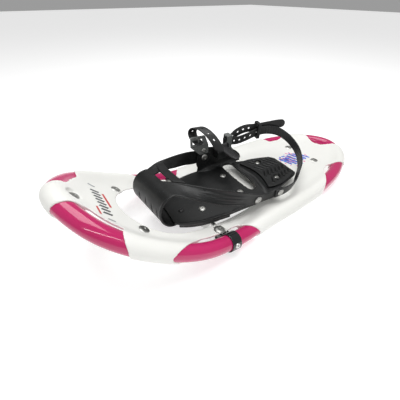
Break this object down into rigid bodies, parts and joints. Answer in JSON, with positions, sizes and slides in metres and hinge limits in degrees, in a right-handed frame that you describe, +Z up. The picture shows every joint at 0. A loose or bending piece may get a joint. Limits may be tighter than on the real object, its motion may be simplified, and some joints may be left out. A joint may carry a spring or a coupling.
{
  "type": "snowshoe",
  "caption": "Snowshoe: tube frame with an upturned nose, plastic deck wrapped round it, and a moulded binding with straps that turns on a cross axle.",
  "frame": {"origin": "on the ground, under the middle of the frame's length and width", "axes": "+Z up, +Y along the snowshoe towards the upturned nose, +X to the wearer's right"},
  "size_m": [0.2104, 0.56, 0.1321],
  "materials": {
    "frame_tube": "glossy pink paint",
    "deck": "satin off-white sheet",
    "binding": "moulded, dull sheen",
    "strap": "moulded, satin",
    "buckle": "satin grey",
    "lever": "satin black",
    "clamp": "glossy black",
    "bush": "plain",
    "steel": "satin"
  },
  "bodies": {
    "shoe": {"frame_tube": "frame_tube", "deck": "deck", "deck_rivet_nose": "steel", "deck_rivet_front_l": "steel", "deck_rivet_front_r": "steel", "deck_rivet_tail_l": "steel", "deck_rivet_tail_r": "steel", "heel_crampon_rivet_l": "steel", "heel_crampon_rivet_r": "steel", "clamp_rivet_l": "steel", "clamp_rivet_r": "steel", "heel_crampon": "steel", "pivot_clamp_l": "clamp", "pivot_clamp_r": "clamp", "clamp_screw_l": "steel", "clamp_screw_r": "steel", "pivot_axle": "steel"},
    "binding": {"pivot_bush_l": "bush", "pivot_bush_r": "bush", "toe_crampon": "steel", "footbed": "binding", "heel_pad": "binding", "toe_cap": "binding", "crampon_rivet_front_l": "steel", "crampon_rivet_front_r": "steel", "crampon_rivet_rear_l": "steel", "crampon_rivet_rear_r": "steel", "heel_pad_rivet_l": "steel", "heel_pad_rivet_r": "steel", "toe_cap_rivet_l": "steel", "toe_cap_rivet_r": "steel", "arm_rivet_l": "steel", "arm_rivet_r": "steel", "heel_strap_rivet": "steel", "buckle_rivet_rear": "steel", "buckle_rivet_front": "steel", "ratchet_base": "buckle", "lever_pin": "steel"},
    "heel_loop": {"heel_strap": "strap", "buckle_rear": "buckle"},
    "keeper": {"strap_keeper": "strap"},
    "instep": {"instep_strap": "strap", "buckle_front": "buckle"},
    "lever": {"ratchet_lever": "lever"}
  },
  "joints": [
    {"name": "binding_pivot", "type": "hinge", "parent": "shoe", "child": "binding", "pos_m": [0, 0.098, 0.0165], "axis": [-1, 0, 0], "range_deg": [0, 50]},
    {"name": "heel_strap_swing", "type": "hinge", "parent": "binding", "child": "heel_loop", "pos_m": [-0.0137, -0.02222, 0.0397], "axis": [-0.9936, 0.1132, 0], "range_deg": [-8, 30]},
    {"name": "keeper_slide", "type": "slide", "parent": "heel_loop", "child": "keeper", "axis": [0.2672, 0.9636, 0], "range_m": [-0.006, 0.006]},
    {"name": "instep_swivel", "type": "hinge", "parent": "binding", "child": "instep", "pos_m": [0.05146, 0.04433, 0.0766], "axis": [0.9936, -0.1132, 0], "range_deg": [-8, 20]},
    {"name": "lever_hinge", "type": "hinge", "parent": "binding", "child": "lever", "pos_m": [0.0404, 0.01087, 0.077], "axis": [0.1132, 0.9936, 0], "range_deg": [0, 75]}
  ]
}
